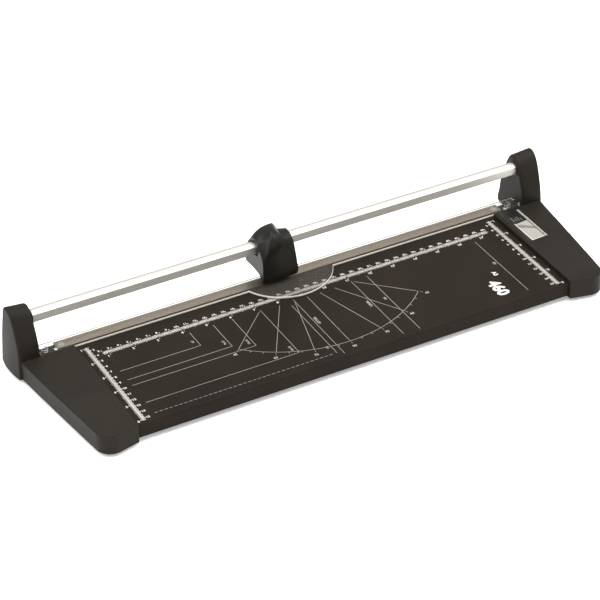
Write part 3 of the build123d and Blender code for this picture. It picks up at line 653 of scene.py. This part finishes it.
def skin_stations(angle, views, crest_rows):
    """Stations and distances from the axis of one row of the skin, from the left edge to the right."""
    left, body, right = (outline_reach(view, angle) for view in views)
    edge, crest = crest_at(crest_rows, angle)
    edge = max(0.6, edge)
    # 1 where the crest stands up, 0 past its front and rear ends
    wing = ramp(angle, -128.0, -108.0) * (1 - ramp(angle, 58.0, 78.0))
    crest = crest * wing + (left + (body - left) * ramp(edge, 0.0, 20.0)) * (1 - wing)
    # 0 over the front and 1 over the rear, where the crest runs out into the body sooner
    rear = ramp(angle, -25.0, 34.0)
    run_out = 24.0 - 20.4 * ramp(angle, -60.0, 34.0)
    stations = []
    for n in range(FLANK_STEPS + 1):
        t = 1 - n / FLANK_STEPS
        drop = rear * t ** 2.8 + (1 - rear) * (1 - (1 - t) ** 3)
        rounding = 0.5 if n == 0 else 0.0
        stations.append((edge * (1 - t), crest - (crest - left) * drop - rounding))
    for n in range(1, BODY_STEPS + 1):
        x = edge + (HEAD_WIDTH - edge) * (n / BODY_STEPS) ** 1.5
        u = min(1.0, (x - edge) / run_out)
        keep = rear * (1 - u ** 1.6) + (1 - rear) * (1 - ramp(u, 0.0, 1.0))
        base = body + (right - body) * min(1.0, max(0.0, (x - BODY_END) / (HEAD_WIDTH - BODY_END)))
        over = max(0.0, (x - HEAD_WIDTH + RIM) / RIM)
        lip = 0.45 * (1 - rear) * wing * math.exp(-((x - edge - 1.6) / 1.1) ** 2)
        corner = 1.0 - math.sqrt(1 - over ** 2)
        stations.append((x, base + (crest - base) * keep + lip - corner))
    return stations


def hood_skin(bm):
    """Thin shell: falls away to the left of the crest's edge and runs out into the body on its right."""
    views = [smooth_curve(view) for view in (LEFT_VIEW, BODY_VIEW, RIGHT_VIEW)]
    crest_rows = smooth_curve(CREST)
    first, last, rows = -152.0, 139.0, 120       # the skin is open below
    outer, inner = [], []
    for k in range(rows + 1):
        angle = first + (last - first) * k / rows
        stations = skin_stations(angle, views, crest_rows)
        outer.append([bm.verts.new(head_point(x, angle, r)) for x, r in stations])
        inner.append([bm.verts.new(head_point(x, angle, r - SKIN)) for x, r in stations])
    count = len(outer[0])
    for k in range(rows):
        for n in range(count - 1):
            bm.faces.new((outer[k][n], outer[k][n + 1], outer[k + 1][n + 1], outer[k + 1][n]))
            bm.faces.new((inner[k][n], inner[k + 1][n], inner[k + 1][n + 1], inner[k][n + 1]))
        for n in (0, count - 1):
            bm.faces.new((outer[k][n], outer[k + 1][n], inner[k + 1][n], inner[k][n]))
    for k in (0, rows):
        for n in range(count - 1):
            bm.faces.new((outer[k][n], inner[k][n], inner[k][n + 1], outer[k][n + 1]))


def hood_wall(bm, view, arch, near, far):
    """Side wall between two stations, with the arched window for the rail."""
    outline = smooth_curve(view)
    window = smooth_curve(arch, 4)
    steps, inside = 120, -0.7            # the wall ends a little inside the skin's outer face
    loops = []
    for shape, grow, station in ((outline, inside, near), (outline, inside, far), (window, 0.0, far),
                                 (window, 0.0, near)):
        ring = []
        for k in range(steps):
            angle = 360.0 / steps * k
            ring.append(bm.verts.new(head_point(station, angle, outline_reach(shape, angle) + grow)))
        loops.append(ring)
    for lower, upper in zip(loops, loops[1:] + loops[:1]):
        for k in range(steps):
            bm.faces.new((lower[k - 1], lower[k], upper[k], upper[k - 1]))


def hood():
    """The head's cover: a thin sculpted skin and two side walls."""
    bm = bmesh.new()
    hood_skin(bm)
    hood_wall(bm, LEFT_VIEW, LEFT_ARCH, 0.2, 0.2 + SKIN)
    hood_wall(bm, RIGHT_VIEW, RIGHT_ARCH, HEAD_WIDTH - 0.4 - SKIN, HEAD_WIDTH - 0.4)
    bmesh.ops.recalc_face_normals(bm, faces=bm.faces)
    mesh = bpy.data.meshes.new("hood")
    bm.to_mesh(mesh)
    bm.free()
    mesh.materials.append(HOOD)
    for face in mesh.polygons:
        face.use_smooth = True
    mesh.set_sharp_from_angle(angle=math.radians(28))
    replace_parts(place_piece("hood", mesh, "cutter_head"), "head_hood")


# ---------------------------------------------------------------- stage
def look_along(azimuth, elevation, roll=0.0):
    """Rotation of a camera or lamp that looks at the object from that side, in degrees."""
    a, e = math.radians(azimuth), math.radians(elevation)
    back = Vector((math.sin(a) * math.cos(e), -math.cos(a) * math.cos(e), math.sin(e)))
    turn = (-back).to_track_quat("-Z", "Y").to_matrix()
    return back, turn @ Matrix.Rotation(math.radians(roll), 3, "Z")


def make_camera():
    """Long-lens camera to the left of the front, looking down at the middle of the cut."""
    data = bpy.data.cameras.new("camera")
    data.sensor_width = 36.0
    data.lens = 150.24
    back, turn = look_along(-27.15, 34.15, -1.57)
    camera = bpy.data.objects.new("camera", data)
    camera.location = Vector((-0.0111, 0.0091, 0.0235)) + back * 2.4
    camera.rotation_mode = "QUATERNION"
    camera.rotation_quaternion = turn.to_quaternion()
    bpy.context.scene.collection.objects.link(camera)
    bpy.context.scene.camera = camera


def area_light(name, azimuth, elevation, distance, size, power):
    data = bpy.data.lights.new(name, "AREA")
    data.shape = "RECTANGLE"
    data.size, data.size_y = size
    data.energy = power
    back, turn = look_along(azimuth, elevation)
    light = bpy.data.objects.new(name, data)
    light.location = back * distance
    light.rotation_mode = "QUATERNION"
    light.rotation_quaternion = turn.to_quaternion()
    bpy.context.scene.collection.objects.link(light)


def make_floor():
    """White sweep that shines a little, so that shadows on it stay faint."""
    reach = 6.0
    mesh = bpy.data.meshes.new("floor")
    mesh.from_pydata([(-reach, -reach, 0), (reach, -reach, 0), (reach, reach, 0), (-reach, reach, 0)],
                     [], [(0, 1, 2, 3)])
    floor = bpy.data.objects.new("floor", mesh)
    bpy.context.scene.collection.objects.link(floor)
    white = Nodes("floor_white", (0.93, 0.93, 0.92), 0.9, Emission_Color=(1.0, 1.0, 0.99, 1.0),
                  Emission_Strength=0.3)
    mesh.materials.append(white.material)


def make_surroundings():
    """White tent that is bright overhead and dimmer towards the horizon."""
    world = bpy.data.worlds.new("surroundings")
    world.use_nodes = True
    tree = world.node_tree
    background = tree.nodes["Background"]
    background.inputs["Color"].default_value = (1.0, 1.0, 0.99, 1.0)
    direction = tree.nodes.new("ShaderNodeTexCoord")
    split = tree.nodes.new("ShaderNodeSeparateXYZ")
    height = tree.nodes.new("ShaderNodeMapRange")
    height.inputs["From Min"].default_value = 0.0
    height.inputs["From Max"].default_value = 0.85
    height.inputs["To Min"].default_value = 0.3
    height.inputs["To Max"].default_value = 1.25
    tree.links.new(direction.outputs["Generated"], split.inputs["Vector"])
    tree.links.new(split.outputs["Z"], height.inputs["Value"])
    tree.links.new(height.outputs["Result"], background.inputs["Strength"])
    bpy.context.scene.world = world


def make_lights():
    """Three soft boxes: overhead, to the right and to the left."""
    area_light("overhead", 20.0, 78.0, 2.2, (2.4, 1.6), 36.0)
    area_light("side", 75.0, 32.0, 2.4, (1.4, 1.2), 16.0)
    area_light("left_fill", -95.0, 42.0, 2.2, (1.2, 0.9), 15.0)


back_ruler()
side_ruler("left_ruler", SIDE_RULER_X, -1)
side_ruler("right_ruler", 2 * HALF_CUT / MM - SIDE_RULER_X, 1)
paper_outlines()
protractor()
size_mark()
clamp_strip()
strip_spring("left")
strip_spring("right")
cap_label()
hood()
make_camera()
make_floor()
make_surroundings()
make_lights()
bpy.context.scene.view_settings.view_transform = "Standard"
